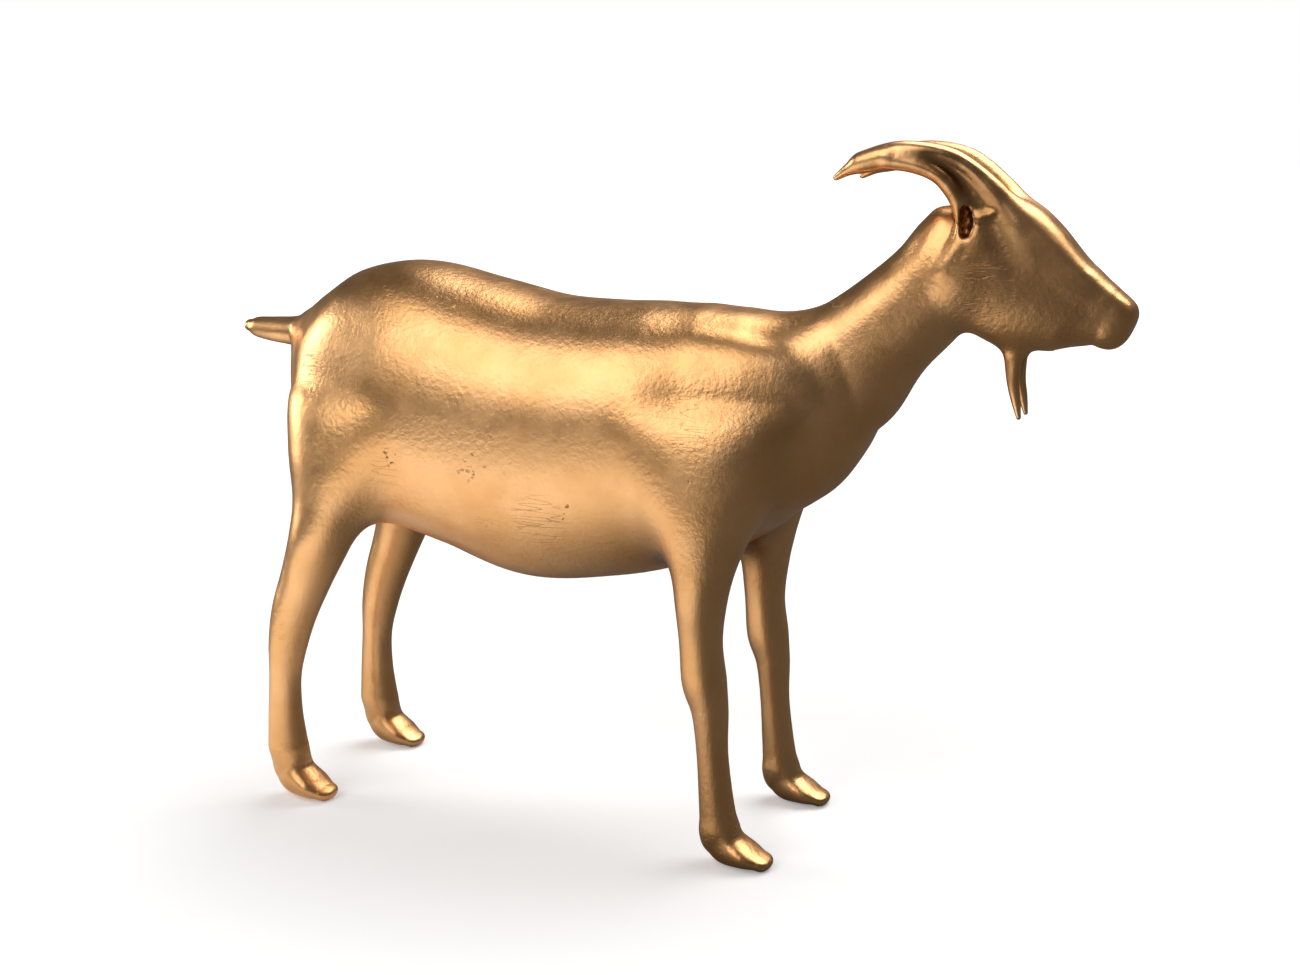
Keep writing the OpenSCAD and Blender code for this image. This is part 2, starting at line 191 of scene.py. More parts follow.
paper = add("ShaderNodeMix", data_type="RGBA", B=SHEET_WHITE)
link(card, paper.inputs["A"])
link(seen, paper.inputs["Factor"])
link(paper.outputs["Result"], shader.inputs["Base Color"])
horizon = window(add, link, far.outputs["Value"], 0.6, 1.8, GLOW_NEAR, GLOW_FAR, "LINEAR")
glow = add("ShaderNodeMapRange")
link(seen, glow.inputs["Value"])
link(card_glow.outputs[0], glow.inputs["To Min"])
link(horizon, glow.inputs["To Max"])
link(glow.outputs["Result"], shader.inputs["Emission Strength"])

FLOOR_SIZE = 24.0
bpy.ops.mesh.primitive_plane_add(size=FLOOR_SIZE)
floor = bpy.context.object
floor.name = "floor"
floor.data.materials.append(floor_material)
floor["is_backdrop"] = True
print("floor is", FLOOR_SIZE, "metres across")

# %% [markdown]
# ## Lights
#
# A highlight on bronze is the picture of a light. The wide window in front on
# the left is meant for the long band along the upper flank and the shoulder,
# and the strip at the left end for the one down the rump. The ceiling is a sun
# with a very wide disc, so that the goat's shadow has no hard edge.


# %% Lights
def soft_light(name, place, size, brightness):
    """A rectangular area light at place, turned towards the goat's middle. Its
    power is its brightness times pi times its area."""
    data = bpy.data.lights.new(name, "AREA")
    data.shape = "RECTANGLE"
    data.size, data.size_y = size
    data.energy = brightness * math.pi * size[0] * size[1]
    light = bpy.data.objects.new(name, data)
    light.location = place
    away = np.array(place) - (0, 0, 0.11)
    yaw = math.atan2(away[1], away[0]) + math.pi / 2
    tilt = math.atan2(math.hypot(away[0], away[1]), away[2])
    light.rotation_euler = (tilt, 0, yaw)
    bpy.context.collection.objects.link(light)


soft_light("key_front", (-0.5, -1.2, 1.12), (1.35, 1.5), 2.05)
soft_light("strip_left", (-1.4, -0.15, 0.42), (0.5, 0.7), 5)

sun_data = bpy.data.lights.new("ceiling", "SUN")
sun_data.energy = 2.3
sun_data.angle = math.radians(55)
ceiling = bpy.data.objects.new("ceiling", sun_data)
ceiling.rotation_euler = (math.radians(-28), math.radians(14), 0)
bpy.context.collection.objects.link(ceiling)

# %% [markdown]
# The room beyond the lights is dim where the bronze reflects it and white where
# the camera looks past the goat. The standard view transform is chosen because
# the default one takes the colour out of warm metal where it is bright.

# %% Room
ROOM_DIM, ROOM_SEEN = 0.10, 1.0

world = bpy.data.worlds.new("studio")
world.use_nodes = True
tree = world.node_tree
room_light = tree.nodes["Background"]
backdrop = tree.nodes.new("ShaderNodeBackground")
for node, strength in ((room_light, ROOM_DIM), (backdrop, ROOM_SEEN)):
    node.inputs["Color"].default_value = (1, 1, 1, 1)
    node.inputs["Strength"].default_value = strength
seen = tree.nodes.new("ShaderNodeLightPath")
choose = tree.nodes.new("ShaderNodeMixShader")
tree.links.new(seen.outputs["Is Camera Ray"], choose.inputs[0])
tree.links.new(room_light.outputs[0], choose.inputs[1])
tree.links.new(backdrop.outputs[0], choose.inputs[2])
tree.links.new(choose.outputs[0], tree.nodes["World Output"].inputs["Surface"])
bpy.context.scene.world = world
bpy.context.scene.view_settings.view_transform = "Standard"
print("room strength:", ROOM_DIM, "in reflections,", ROOM_SEEN, "behind the goat")

# %% [markdown]
# ## The goat as a function of space
#
# A limb is a round or boxy section carried along a bent spine. The goat's
# spines all lie in upright planes, so a row of a table holds the place of the
# spine (x, z), how deep the section is above and below it, its half width, and
# how far out from the middle plane the limb stands.
#
# Instead of a mesh, each limb becomes a number for every point of space: how
# far the point is outside the limb's skin, or inside it when negative. Numbers
# can be mixed, which meshes can't: a soft minimum of two limbs is a limb that
# grows out of the other with a fillet, as wax does under a thumb.


# %% A smooth spine through the rows
def smooth_rows(rows, steps=10):
    """Catmull-Rom curve: each stretch is a cubic that leaves a row in the
    direction of the line through its two neighbours."""
    p = np.asarray(rows, float)
    p = np.vstack([2 * p[0] - p[1], p, 2 * p[-1] - p[-2]])
    t = np.linspace(0, 1, steps, endpoint=False)[None, :, None]
    a, b, c, d = (p[i:len(p) - 3 + i, None, :] for i in range(4))
    curve = (2 * b + (c - a) * t + (2 * a - 5 * b + 4 * c - d) * t ** 2
             + (3 * b - a - 3 * c + d) * t ** 3) / 2
    return np.vstack([curve.reshape(-1, p.shape[1]), p[-2]])


# %% A block of space to work in
class Block:
    """A box of points, spacing apart, in millimetres: axes x, z and y."""

    def __init__(self, low, high, spacing):
        self.low = np.array(low, float)
        self.spacing = spacing
        self.x, self.y, self.z = (np.arange(low[i], high[i] + spacing, spacing, dtype=np.float32)
                                  for i in range(3))

    def plane(self):
        """All (x, z) pairs, as one list of points."""
        x, z = np.meshgrid(self.x, self.z, indexing="ij")
        return np.stack([x.ravel(), z.ravel()], 1), x.shape


# %% Nearest place on a spine
def nearest_on_spine(points, spine):
    """How far along the spine each point's nearest place is, counted in steps:
    the point is projected on every step in turn, and the closest one wins."""
    best = np.full(len(points), np.inf)
    place = np.zeros(len(points))
    for i, (start, step) in enumerate(zip(spine[:-1], np.diff(spine, axis=0))):
        t = np.clip((points - start) @ step / (step @ step), 0, 1)
        far = ((points - start - t[:, None] * step) ** 2).sum(1)
        nearer = far < best
        best[nearer] = far[nearer]
        place[nearer] = i + t[nearer]
    return place


# %% Distance to a limb
class Limb:
    """A section carried along a spine, measured on every point of a block."""

    def __init__(self, block, rows, power=2.0):
        """Finds, for each (x, z), the nearest point of the spine. As the spine
        is flat, that place doesn't depend on y, and one search serves all."""
        curve = smooth_rows(rows)
        curve[:, 0] += MIDDLE_X
        spine = curve[:, :2]
        points, shape = block.plane()
        place = nearest_on_spine(points, spine)
        end = len(spine) - 1
        i = np.minimum(place.astype(int), end - 1)
        f = (place - i)[:, None]
        row = curve[i] * (1 - f) + curve[i + 1] * f
        along = np.gradient(spine, axis=0)
        along = along[i] * (1 - f) + along[i + 1] * f
        along /= np.linalg.norm(along, axis=1)[:, None]
        offset = points - row[:, :2]
        rise = offset[:, 1] * along[:, 0] - offset[:, 0] * along[:, 1]
        past = np.where((place > 0) & (place < end), 0, (offset * along).sum(1))
        depth = np.where(rise > 0, row[:, 2], row[:, 3])
        tip = (row[:, 2] + row[:, 3] + 2 * row[:, 4]) / 4

        def column(v):
            return v.reshape(shape)[:, :, None].astype(np.float32)

        self.block, self.power = block, power
        self.rise, self.depth = column(np.abs(rise / depth)), column(depth)
        self.past, self.tip = column(np.abs(past / tip)), column(tip)
        self.width, self.out = column(row[:, 4]), column(row[:, 5])

    def __call__(self, side=1):
        """How far each point lies outside the limb. With q the p-norm of the
        point's offset measured in half widths and depths, the skin is q = 1,
        and (q - 1) over the slope of q is the distance to it, nearly."""
        p = self.power
        across = np.abs((self.block.y[None, None, :] - side * self.out) / self.width)
        q = (self.rise ** p + across ** p + self.past ** p) ** (1 / p) + 1e-6
        slope = np.sqrt((self.rise ** (p - 1) / self.depth) ** 2
                        + (across ** (p - 1) / self.width) ** 2
                        + (self.past ** (p - 1) / self.tip) ** 2) * q ** (1 - p) + 1e-6
        return (q - 1) / slope


# %% Joining and carving
def blend(a, b, radius):
    """The nearer of two skins, with a fillet: the smaller distance, less a
    parabola where the two differ by under the radius."""
    near = np.maximum(radius - np.abs(a - b), 0)
    return np.minimum(a, b) - near * near / (4 * radius)


def carve(a, tool, radius):
    """Takes the tool's volume out of a, with a soft edge."""
    return -blend(-a, tool, radius)


# %% [markdown]
# ## The tables
#
# These rows are the modelling. A sculptor would call them the armature and the
# callipers: where the line of the back runs, how deep the chest is, where the
# hock bends. Each list has only the rows that the form needs.

# %% [markdown]
# The trunk's spine sags behind the withers and rises over the hips. Its first
# rows grow fast, so that the rump is round and not pointed. The neck starts deep
# in the chest, because a limb that starts at the skin shows its end as a step.

# %% Trunk, neck and tail
TRUNK = [
    (-90.4, 132.4, 2, 2, 2, 0), (-89.3, 132.4, 9, 9.5, 7, 0), (-87.4, 132.4, 14, 15, 10.5, 0),
    (-84, 132.3, 19.8, 20.8, 14.8, 0), (-77.5, 131.8, 30, 31, 22, 0),
    (-69, 130.8, 38.5, 38, 26.5, 0), (-57, 129.2, 43.4, 41, 30, 0),
    (-43, 127.4, 45.2, 40.3, 33, 0), (-23, 124.6, 43.7, 42.4, 34.8, 0),
    (1, 121.5, 42, 46.3, 35.2, 0), (25, 121, 41.4, 43, 35, 0), (45, 123, 40, 39, 33.6, 0),
    (62, 126.5, 36.5, 34.5, 28, 0), (75, 130, 30.5, 27.5, 22.5, 0),
    (87, 133.5, 20.5, 19.5, 16, 0), (97, 136.5, 11, 10.5, 9, 0), (102, 138, 3, 3, 3, 0)
]
NECK = [
    (50, 113, 6, 6, 6, 0), (60, 119.5, 13, 13, 11, 0), (68, 126, 19.5, 19.5, 15, 0),
    (76, 132.5, 22.5, 23.5, 16.5, 0), (87, 141.5, 18.8, 21, 15.5, 0),
    (102, 153.5, 15.4, 17.2, 14, 0), (116, 166.5, 13.4, 16.2, 12.7, 0),
    (127, 178.5, 12, 15, 12, 0), (134, 188, 7.2, 8, 7, 0)
]
TAIL = [
    (-58, 142, 8, 8, 8, 0), (-68, 147, 11, 9, 11, 0), (-79, 149, 9, 8, 9, 0),
    (-90, 148.5, 5.2, 5, 6, 0), (-99, 148.6, 4.2, 4.2, 4.8, 0), (-106, 149, 3.3, 3.5, 3.6, 0),
    (-109, 149.4, 2, 2.2, 2.4, 0)
]

# %% [markdown]
# A foreleg is nearly a straight post, thick at the elbow and at the knee. A hind
# leg bends twice, at the stifle and at the hock. The feet are short limbs of
# their own that lie on the floor and point forwards.

# %% Legs and feet
FORE_LEG = [
    (63.5, 138, 11, 10, 3, 15), (63, 128, 16, 14.5, 7, 22.5), (62.3, 110, 15.5, 13.6, 9, 25.8),
    (62, 95, 11.8, 9.6, 9.4, 27.4), (62, 80, 7.9, 7.7, 8.4, 28.5),
    (62, 67, 6.5, 6.3, 6.5, 28.5), (63.2, 55, 6.7, 6.6, 6.5, 28.5),
    (64.9, 46, 5.6, 5.2, 5.8, 28.5), (65.8, 34, 4.7, 4.6, 5, 28.5),
    (66.8, 22, 5.1, 4.9, 5.1, 28.5), (67.8, 12, 5.8, 5.4, 5.6, 28.5)
]
FORE_FOOT = [
    (69, 8, 5.2, 6, 5.2, 28.5), (72, 6, 4.4, 6, 6.2, 28.5), (77, 4, 3, 4, 6.9, 28.5),
    (81, 2.8, 1.6, 2.8, 5.4, 28.5)
]
HIND_LEG = [
    (-55, 138, 12, 12, 3, 14), (-56, 128, 16.5, 21, 9, 21), (-59, 112, 13, 19, 11.4, 24.4),
    (-62.3, 97, 9.8, 14.4, 11.2, 26), (-66.7, 86, 8.8, 10.6, 10.8, 27.2),
    (-72, 74, 8, 8.5, 8.4, 28), (-77, 62, 7.3, 7.4, 7.2, 28.5), (-80, 51, 6.3, 6.3, 6.2, 28.5),
    (-81.6, 40, 5.2, 5.1, 5.2, 28.5), (-82.2, 28, 5.8, 5.3, 5.4, 28.5),
    (-81.8, 17, 6.9, 6.2, 6.2, 28.5)
]
HIND_FOOT = [
    (-79.6, 10, 5.8, 6.6, 5.6, 28.5), (-77, 7, 4.8, 6.6, 6.4, 28.5),
    (-72, 4.3, 3.4, 4.3, 6.9, 28.5), (-68.4, 3, 1.7, 3, 5.5, 28.5)
]

# %% [markdown]
# The head is a wedge. On each side a brow runs as one sharp ridge from the nose
# up over the forehead and on along the front of the horn, and a rim runs along
# the back of the horn and down behind the ear. Between the two lies the flute,
# which is carved and not added. The ear is only a pocket with a small lip.

# %% Head and brows
HEAD = [
    (127, 184.5, 5, 12, 9, 0), (131.5, 181.5, 11.4, 17, 12.9, 0),
    (139, 178, 17.2, 20.8, 12.8, 0), (149, 172.5, 15.4, 21, 11.2, 0),
    (158, 168, 10.4, 16.8, 9.8, 0), (162, 166.2, 9, 14.2, 9.1, 0),
    (165.5, 164.6, 7.8, 11.3, 8.4, 0), (169.2, 163, 6.9, 8.7, 7.8, 0)
]
BROW = [
    (103, 204.6, .7, 1.2, .8, 13.4), (113, 206.7, 1.2, 2.4, 1.4, 13),
    (120, 206.3, 1.8, 3.6, 2, 12), (127, 204.4, 2.2, 5, 2.6, 10.6),
    (131.3, 201.7, 2.4, 6, 2.8, 9.4), (136.3, 197.6, 2.4, 7, 3, 8),
    (142, 193, 2.4, 7, 3.4, 6.8), (148, 187.6, 2.2, 7, 3.8, 5.8), (155, 181, 2.2, 6, 4, 5),
    (163, 173.8, 2, 5, 3.8, 4.2), (168.5, 168.8, 1.8, 4, 3.2, 3.4)
]

# %% Horns, with their rims and flutes
HORN = [
    (139, 186, 7, 8, 4, 8), (135.2, 193.6, 6.2, 6.6, 4.2, 9), (130, 200, 5.6, 4.6, 4.2, 10.4),
    (123.5, 204.2, 4.3, 3.5, 3.9, 11.8), (112.5, 206, 3.4, 2.9, 3.4, 13),
    (103.4, 203.9, 2.5, 2.3, 2.7, 13.4), (99.2, 202, 1.7, 1.7, 1.9, 13.3),
    (95.6, 199.8, .9, .9, 1, 13.2)
]
RIM = [
    (111, 204.7, 1.4, 1.4, 1.4, 14.6), (119, 203.5, 1.5, 1.5, 1.5, 14.4),
    (124.8, 200.6, 1.6, 1.6, 1.7, 13.9), (128.2, 196.6, 1.6, 1.6, 1.8, 12.8),
    (129.6, 192.6, 1.4, 1.4, 1.7, 11.6), (130.4, 188.6, 1.2, 1.2, 1.3, 11.2),
    (130.4, 184, 1.1, 1.1, 1.1, 11.4), (128.6, 179.4, 1, 1, 1, 11.8),
    (126, 175, .8, .8, .8, 12)
]
FLUTE = [
    (146, 177, 5, 6, 8, 21.4), (142, 184, 5, 5, 8, 20.2), (138.6, 190, 4.6, 4, 8, 19.8),
    (135, 195.4, 4.6, 3.4, 8, 19.6), (131, 199.6, 4.4, 3.2, 7.6, 19.3),
    (126.5, 202.4, 3.6, 2.8, 6.6, 19.3), (121, 204.2, 2.4, 2, 5, 19.5),
    (114, 205.4, 1.2, 1.2, 4, 21.2)
]

# %% Beard and ears
BEARD = [
    (143.8, 160, 5, 3.8, 3.2, 1.5), (144.6, 154.5, 4, 3.2, 2.4, 2.6),
    (144.6, 150, 2.6, 2.4, 1.8, 3.7), (145, 144, 1.8, 1.7, 1.5, 4.6),
    (146, 139, 1.4, 1.3, 1.2, 4.9), (147, 134.4, .7, .7, .7, 5)
]
EAR_POCKET = [
    (131.8, 190.4, 1, 1, 2, 11.6), (132, 188.2, 1.5, 1.5, 2.8, 11.2),
    (131.9, 185.8, 1, 1, 2, 12.2)
]
EAR_LIP = [
    (133.4, 189, .7, .7, .9, 10.8), (136, 189.4, 1, 1, 1.1, 11), (138.6, 190.1, .6, .6, .7, 11)
]
print("rows of modelling:", sum(map(len, (
    TRUNK, NECK, TAIL, FORE_LEG, FORE_FOOT, HIND_LEG, HIND_FOOT, HEAD, BROW, HORN, RIM, FLUTE,
    BEARD, EAR_POCKET, EAR_LIP))))

# %% [markdown]
# ## One skin
#
# The order of joining is the order of building in wax: the big forms first,
# with wide fillets, then the legs, then the head's smaller forms with tight
# ones, and the hollows last.

# %% Fillets
BODY = ((TRUNK, 2.3, 1), (NECK, 2.4, 20), (TAIL, 2, 12))         # rows, power, fillet
LEGS = ((FORE_LEG, FORE_FOOT, 16), (HIND_LEG, HIND_FOOT, 12))    # rows, rows, fillet
ANKLE_FILLET = 4
FAR_AWAY = 60                # millimetres, before anything is joined
print("widest fillet:", max(b[2] for b in BODY), "mm")


# %% The head on a skin
def add_head(skin, block):
    """Joins the head, the horns and the beard to the skin, then carves the
    flutes and the ears' pockets."""
    skin = blend(skin, Limb(block, HEAD, 2.8)(), 5)
    horn, brow, beard = Limb(block, HORN), Limb(block, BROW), Limb(block, BEARD)
    flute, pocket, lip = Limb(block, FLUTE), Limb(block, EAR_POCKET), Limb(block, EAR_LIP)
    rim = Limb(block, RIM)
    for side in (1, -1):
        skin = blend(skin, horn(side), 3.5)
        skin = blend(skin, brow(side), 5)
        skin = blend(skin, beard(side), 4)
    for side in (1, -1):
        skin = carve(skin, flute(side), 4)
        skin = blend(skin, rim(side), 3)
        skin = blend(skin, lip(side), 2)
        skin = carve(skin, pocket(side), 2)
    return skin


# %% The whole goat on a block of space
def goat(block):
    """Distance to the goat's skin at every point of the block."""
    low_x, high_x = block.x[0] - MIDDLE_X, block.x[-1] - MIDDLE_X
    high_z = block.z[-1]

    def near(rows, margin=16):
        """Whether a limb comes close enough to the block to matter."""
        xs = [r[0] for r in rows]
        zs = [r[1] for r in rows]
        reach = max(max(r[2], r[3]) for r in rows) + margin
        return (min(xs) - reach < high_x and max(xs) + reach > low_x
                and min(zs) - reach < high_z and max(zs) + reach > block.z[0])

    skin = np.full((len(block.x), len(block.z), len(block.y)), FAR_AWAY, np.float32)
    for rows, power, fillet in BODY:
        if near(rows, 40):
            skin = blend(skin, Limb(block, rows, power)(), fillet)
    for leg, foot, fillet in LEGS:
        if near(leg):
            upper, lower = Limb(block, leg), Limb(block, foot, 2.2)
            for side in (1, -1):
                skin = blend(skin, blend(upper(side), lower(side), ANKLE_FILLET), fillet)
    if near(HEAD):
        skin = add_head(skin, block)
    return np.maximum(skin, -block.z[None, :, None])


# %% [markdown]
# ## From numbers to a mesh
#
# Surface nets is the simplest way to draw the skin: every small cube that the
# skin passes through gets one vertex, at the middle of the points where the
# skin crosses the cube's edges, and every crossed edge gets one face between
# the four cubes round it.

# %% Vertices of the net
CORNERS = [(i, j, k) for i in (0, 1) for j in (0, 1) for k in (0, 1)]


def net_vertices(field, cells):
    """For each cell, the mean of the points where the field is 0 on its twelve
    edges. Between a and b the field is 0 at the fraction a / (a - b)."""
    total, crossings = np.zeros((len(cells), 3)), np.zeros((len(cells), 1))
    for c in CORNERS:
        for axis in range(3):
            if c[axis]:
                continue
            other = np.array(c)
            other[axis] = 1
            a, b = (field[tuple((cells + o).T)] for o in (c, other))
            crossed = (a < 0) != (b < 0)
            place = np.tile(np.array(c, float), (len(cells), 1))
            place[:, axis] += a / np.where(crossed, a - b, 1)
            total += place * crossed[:, None]
            crossings += crossed[:, None]
    return cells + total / crossings


# %% Faces of the net
def net_faces(inside, number):
    """One face of four cells for each edge whose two ends lie on different
    sides of the skin. Its corners run so that it faces outwards."""
    faces = []
    for axis in range(3):
        first, second = [slice(None)] * 3, [slice(None)] * 3
        first[axis], second[axis] = slice(0, -1), slice(1, None)
        edge = np.argwhere(inside[tuple(first)] != inside[tuple(second)])
        u, v = [o for o in range(3) if o != axis]
        whole = (edge[:, [u, v]] > 0) & (edge[:, [u, v]] < np.array(inside.shape)[[u, v]] - 1)
        edge = edge[whole.all(1)]
        ring = []
        for du, dv in ((0, 0), (1, 0), (1, 1), (0, 1)):
            cell = edge.copy()
            cell[:, u] -= du
            cell[:, v] -= dv
            ring.append(number[tuple(cell.T)])
        face = np.stack(ring, 1)
        turned = inside[tuple(edge.T)] == (axis != 1)
        face[turned] = face[turned][:, ::-1]
        faces.append(face)
    return np.vstack(faces)


# %% Surface nets
def surface_net(field):
    """Vertices in cells of the block, and faces as rows of four vertices. The
    skin passes through a cell when some of its corners are inside, not all."""
    inside = field < 0
    corner = [inside[tuple(slice(o, n - 1 + o) for o, n in zip(c, field.shape))] for c in CORNERS]
    count = sum(c.astype(np.int8) for c in corner)
    active = (count > 0) & (count < 8)
    cells = np.argwhere(active)
    number = np.full(active.shape, -1)
    number[active] = np.arange(len(cells))
    return net_vertices(field, cells), net_faces(inside, number)


# %% [markdown]
# The net's vertices lie near the skin, not on it, and that shows in a mirror.
# Each one is therefore moved down the field's slope until the field is 0, and
# the slope itself is kept as its normal. Shading with the true slope instead of
# the faces' mean is what makes the reflections run smoothly.

# %% Reading the field between its points
def read(values, place):
    """Trilinear value of an array at places given in cells: each of the eight
    corners counts by how near it is."""
    cell = np.clip(place.astype(int), 0, np.array(values.shape) - 2)
    f = place - cell
    out = 0
    for c in CORNERS:
        weight = np.prod(np.where(c, f, 1 - f), axis=1)
        out = out + weight * values[tuple((cell + c).T)]
    return out


# %% Settling on the skin
def settle(place, field, gradient, spacing, rounds=2):
    """Moves vertices onto the skin along its slope, by the field over the
    slope's square, and returns the slope's direction there as their normals."""
    for _ in range(rounds):
        slope = np.stack([read(g, place) for g in gradient], 1)
        step = read(field, place) / (slope ** 2).sum(1)
        place = place - np.clip(step, -1, 1)[:, None] * slope / spacing
    slope = np.stack([read(g, place) for g in gradient], 1)
    return place, slope / np.linalg.norm(slope, axis=1)[:, None]


# %% [markdown]
# A founder's joint is flat, so the skin is cut with a plane. Every triangle that
# the plane crosses has one corner alone on its side. Cutting off that corner
# leaves a triangle there and two triangles on the other side.


# %% Cutting a casting off flat
def cut(points, faces, where, facing, within=None, keep_past=False):
    """Cuts triangles with the plane through where and drops what lies past it,
    or keeps only that. The cut is closed with a fan of triangles round its
    middle. within limits the part past the plane to a box: a point's height is
    then the smallest of its distances inside the plane and the box's sides."""
    height = (points - where) @ facing
    if within is not None:
        height = np.minimum(height, np.minimum(points - within[0], within[1] - points).min(1))
    if keep_past:
        height = -height
    past = height >= 0
    n_past = past[faces].sum(1)
    kept = faces[n_past == 0]
    crossed = faces[(n_past == 1) | (n_past == 2)]
    lone = n_past[(n_past == 1) | (n_past == 2)] == 1
    odd = np.argmax(past[crossed] == lone[:, None], axis=1)
    turn = (odd[:, None] + np.arange(3)) % 3
    a, b, c = np.take_along_axis(crossed, turn, 1).T
    pairs = np.sort(np.vstack([np.stack([a, b], 1), np.stack([a, c], 1)]), axis=1)
    edges, index = np.unique(pairs, axis=0, return_inverse=True)
    index = index.ravel()
    t = height[edges[:, 0]] / (height[edges[:, 0]] - height[edges[:, 1]])
    fresh = points[edges[:, 0]] * (1 - t[:, None]) + points[edges[:, 1]] * t[:, None]
    ab = index[:len(a)] + len(points)
    ac = index[len(a):] + len(points)
    small = np.stack([a, ab, ac], 1)[~lone]
    large = np.vstack([np.stack([ab, b, c], 1)[lone], np.stack([ab, c, ac], 1)[lone]])
    rim = np.where(lone[:, None], np.stack([ac, ab], 1), np.stack([ab, ac], 1))
    centre = len(points) + len(fresh)
    cap = np.column_stack([rim[:, ::-1], np.full(len(rim), centre)])
    points = np.vstack([points, fresh, fresh.mean(0)])
    return points, np.vstack([kept, small, large]), cap


# %% [markdown]
# ## The castings
#
# Each casting gets its own block of space and its own fineness, because the
# head has small forms and the trunk has none. Four steps make a casting: draw
# the skin inside the block, cut it at the joints, throw away what hangs loose,
# and build the mesh with its normals.

# %% Keeping the casting itself
def largest_part(faces, n_points):
    """Marks the faces that hang together with most of the others. Each vertex
    takes the smallest label among its faces again and again, until none
    changes."""
    label = np.arange(n_points)
    while True:
        low = label[faces].min(1)
        fresh = label.copy()
        for corner in faces.T:
            np.minimum.at(fresh, corner, low)
        fresh = fresh[fresh]
        if (fresh == label).all():
            break
        label = fresh
    names, counts = np.unique(label[faces[:, 0]], return_counts=True)
    return label[faces[:, 0]] == names[counts.argmax()]


def keep_casting(points, faces, caps):
    """The largest part with its caps, and its vertices numbered afresh."""
    faces = faces[largest_part(faces, len(points))]
    used = np.zeros(len(points), bool)
    used[faces.ravel()] = True
    everything = np.vstack([faces, caps[used[caps[:, 0]]]])
    used[everything.ravel()] = True
    return points[used], (np.cumsum(used) - 1)[everything], len(faces)


# %% From cells to millimetres
FLAT_UNDER = 0.35            # a vertex this part of a cell above the floor stands on it


def to_mm(block, p):
    """Places in cells, in the block's order x, z, y, as x, y, z in millimetres."""
    return p[:, [0, 2, 1]] * block.spacing + block.low


def to_cells(block, p):
    """The way back."""
    return ((p - block.low) / block.spacing)[:, [0, 2, 1]]


# %% Mesh with its own normals
TURNED_AWAY = 0.3            # cosine between a face and a normal that can't shade it


def build_mesh(name, points, faces, normals, n_skin):
    """A mesh whose skin is shaded with the given normals. A face whose corners'
    normals turn away from it, and every face of a cut, is shaded flat."""
    mesh = bpy.data.meshes.new(name)
    mesh.from_pydata((points * MM).tolist(), [], faces.tolist())
    mesh.update()
    mesh.polygons.foreach_set("use_smooth", np.arange(len(faces)) < n_skin)
    corner_normals = normals[faces]
    flat = np.cross(points[faces[:, 1]] - points[faces[:, 0]],
                    points[faces[:, 2]] - points[faces[:, 0]])
    flat /= np.linalg.norm(flat, axis=1)[:, None] + 1e-12
    agreement = (corner_normals * flat[:, None]).sum(2).min(1)
    sharp = (np.arange(len(faces)) >= n_skin) | (agreement < TURNED_AWAY)
    corner_normals = np.where(sharp[:, None, None], flat[:, None, :], corner_normals)
    mesh.normals_split_custom_set(corner_normals.reshape(-1, 3).tolist())
    return mesh


# %% [markdown]
# The field knows something that a mesh doesn't: how much metal or air is near a
# vertex. A probe a few millimetres outside the skin finds the skin closer than
# it should be in a hollow, and a probe just inside finds it closer on an edge.
# Both are stored on the vertices, and later the patina reads them.

# %% Hollows and edges
PROBES = (("hollow", 3.0), ("edge", -1.5))       # millimetres out of the skin


def mark_hollows(mesh, field, spacing, cells, normals):
    """1 less the field at the probe over the probe's depth: 0 on a flat skin,
    more where the form turns towards the probe."""
    for label, depth in PROBES:
        probe = cells + normals * depth / spacing
        amount = np.clip((depth - read(field, probe)) / depth, -1, 1)
        layer = mesh.attributes.new(label, "FLOAT", "POINT")
        layer.data.foreach_set("value", amount.astype(np.float32))


# %% One casting
def casting(name, low, high, spacing, cuts, node):
    """Draws the goat's skin inside a box, cuts it at its joints and makes the
    piece that stands for the frame's node."""
    block = Block(np.array(low) + (MIDDLE_X, 0, 0), np.array(high) + (MIDDLE_X, 0, 0), spacing)
    field = goat(block)
    gradient = np.gradient(field, spacing)
    place, quads = surface_net(field)
    place, _ = settle(place, field, gradient, spacing)
    points = to_mm(block, place)
    points[:, 2] = np.where(points[:, 2] < FLAT_UNDER * spacing, 0, points[:, 2])
    faces = np.vstack([quads[:, [0, 1, 2]], quads[:, [0, 2, 3]]])
    caps = np.zeros((0, 3), int)
    for where, facing, within, keep_past in cuts:
        plane = np.array(where), np.array(facing)
        points, faces, cap = cut(points, faces, *plane, within, keep_past)
        caps = np.vstack([caps, cap])
    points, faces, n_skin = keep_casting(points, faces, caps)

    cells = to_cells(block, points)
    _, normals = settle(cells, field, gradient, spacing, rounds=0)
    mesh = build_mesh(name, points, faces, normals[:, [0, 2, 1]], n_skin)
    mark_hollows(mesh, field, spacing, cells, normals)
    piece = bpy.data.objects.new(name, mesh)
    bpy.context.collection.objects.link(piece)
    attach(piece, "root")
    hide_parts(node)
    print(f"{name}: {len(faces)} triangles")
    return piece


# %% [markdown]
# ## Where the castings meet
#
# The joint planes repeat the frame's own to a tenth of a millimetre, so that the
# pieces meet where the spigots and sleeves are. A plane has no end, so a cut
# that must not reach the rest of the goat is limited to a box.

# %% The joint planes
def joint(x, z, angle, within=None):
    """A joint across the middle plane: a point, the way it faces, and the box
    that it is limited to, where it is."""
    facing = (math.cos(math.radians(angle)), 0, math.sin(math.radians(angle)))
    return (x + MIDDLE_X, 0, z), facing, within


def room(low, high):
    """A box, given in millimetres from the middle of the stance."""
    return np.array(low) + (MIDDLE_X, 0, 0), np.array(high) + (MIDDLE_X, 0, 0)


